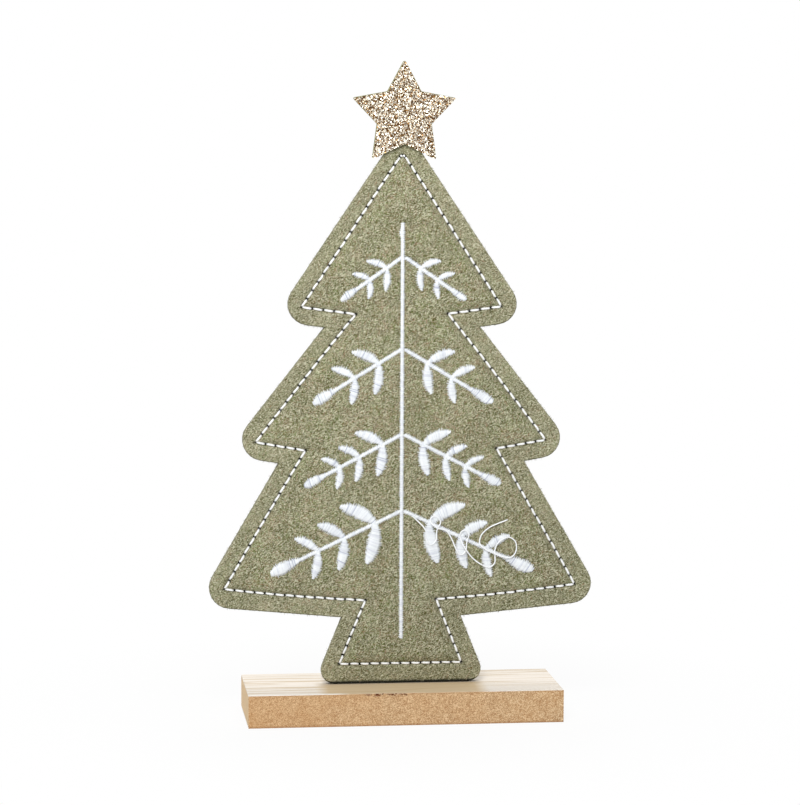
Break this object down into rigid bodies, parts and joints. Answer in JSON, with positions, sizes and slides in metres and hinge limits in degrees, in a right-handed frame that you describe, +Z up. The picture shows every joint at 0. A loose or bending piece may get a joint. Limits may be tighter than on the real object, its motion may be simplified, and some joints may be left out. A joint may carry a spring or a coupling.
{
  "type": "felt christmas tree",
  "caption": "Flat stitched felt fir tree with embroidered sprigs, a glitter star at the tip and a flat wooden foot.",
  "frame": {"origin": "centre of the foot's underside, which is also the bottom centre of the whole object", "axes": "+Z up through the tree, +X along the foot to the right as seen from the front, -Y to the front with the embroidery and star"},
  "size_m": [0.1778, 0.05, 0.3018],
  "materials": {
    "veneer": "thin pale wood veneer, satin",
    "mdf": "raw MDF with a fine brown speckle",
    "stiffener": "plain grey-brown board",
    "wadding": "thin white polyester wadding",
    "steel": "bright steel pin",
    "felt": "mottled grey-green wool felt, matte and fibrous",
    "seam_thread": "white sewing thread",
    "embroidery": "white satin stitch with a soft sheen",
    "loose_thread": "white thread",
    "star_board": "olive-brown painted board",
    "glitter": "dense pale gold glitter"
  },
  "bodies": {
    "root": {"base_bottom_veneer": "veneer", "base_core": "mdf", "base_top_veneer": "veneer", "stiffener": "stiffener", "front_wadding": "wadding", "back_wadding": "wadding", "fixing_pin_left": "steel", "fixing_pin_right": "steel", "felt_front": "felt", "felt_back": "felt", "seam_needle_thread": "seam_thread", "seam_bobbin_thread": "seam_thread", "embroidered_stem": "embroidery", "sprig_1_left": "embroidery", "sprig_1_right": "embroidery", "sprig_2_left": "embroidery", "sprig_2_right": "embroidery", "sprig_3_left": "embroidery", "sprig_3_right": "embroidery", "sprig_4_left": "embroidery", "sprig_4_right": "embroidery", "loose_thread": "loose_thread", "star_board": "star_board", "star_glitter": "glitter"}
  },
  "joints": []
}
